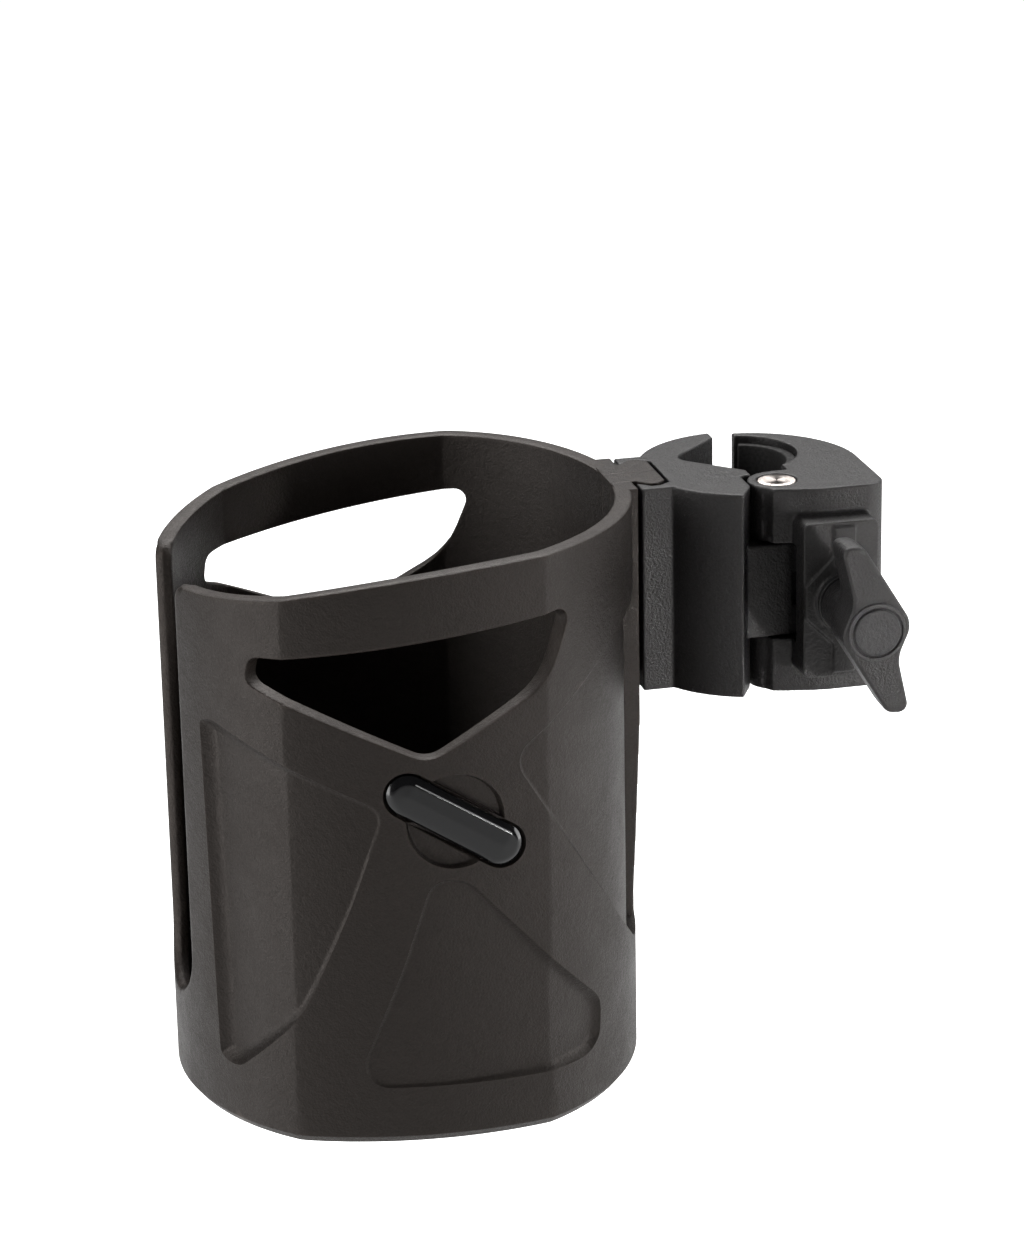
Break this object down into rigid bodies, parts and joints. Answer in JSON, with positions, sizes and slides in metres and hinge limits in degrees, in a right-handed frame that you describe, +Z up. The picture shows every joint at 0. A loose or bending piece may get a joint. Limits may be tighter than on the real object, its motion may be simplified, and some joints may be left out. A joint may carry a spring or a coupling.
{
  "type": "clamp-on cup holder",
  "caption": "Mug-size cup holder with a handle slot and side windows, hung by a dovetail on a hinged two-jaw tube clamp that a wing knob tightens.",
  "frame": {"origin": "on the gripped tube's axis, at the clamp's mid height", "axes": "+Z up along the tube, +X from the cup to the clamp, -Y towards the wing knob"},
  "size_m": [0.1489, 0.0943, 0.1235],
  "materials": {
    "cup_plastic": "fine-grained satin, warm dark grey",
    "badge_gloss": "domed gloss, black, plain",
    "clamp_plastic": "fine-grained satin, black",
    "pin_steel": "bright, lightly marked",
    "screw_steel": "zinc plated",
    "pad_rubber": "matt",
    "washer_plastic": "smooth",
    "cap_plastic": "fine-grained satin, black"
  },
  "bodies": {
    "clamp": {"fixed_jaw": "clamp_plastic", "hinge_pin": "pin_steel"},
    "jaw": {"moving_jaw": "clamp_plastic", "jaw_pad": "pad_rubber"},
    "nut": {"barrel_nut": "screw_steel"},
    "washer": {"thrust_washer": "washer_plastic"},
    "knob": {"wing_knob": "clamp_plastic", "screw_stud": "screw_steel", "knob_cap": "cap_plastic"},
    "cup": {"cup_body": "cup_plastic", "badge": "badge_gloss"}
  },
  "joints": [
    {"name": "jaw_hinge", "type": "hinge", "parent": "clamp", "child": "jaw", "pos_m": [0.0021, -0.0207, 0], "axis": [0, 0, 1], "range_deg": [-38, 3]},
    {"name": "nut_swivel", "type": "hinge", "parent": "clamp", "child": "nut", "pos_m": [0.0118, -0.0207, 0], "axis": [0, 0, 1], "range_deg": [-32.68, 2.58]},
    {"name": "screw_travel", "type": "slide", "parent": "nut", "child": "washer", "axis": [0, -1, 0], "range_m": [-0.00054, 0.00684]},
    {"name": "knob_spin", "type": "hinge", "parent": "washer", "child": "knob", "pos_m": [0.0118, -0.045, 0], "axis": [0, -1, 0], "range_deg": [-194.4, 2462.4]},
    {"name": "cup_slide", "type": "slide", "parent": "clamp", "child": "cup", "axis": [0, 0, 1], "range_m": [0, 0.06]}
  ],
  "couplings": [
    {"joint": "nut_swivel", "follows": "jaw_hinge", "ratio": 0.86},
    {"joint": "screw_travel", "follows": "jaw_hinge", "m_per_rad": -0.010313},
    {"joint": "knob_spin", "follows": "jaw_hinge", "ratio": -64.8}
  ]
}
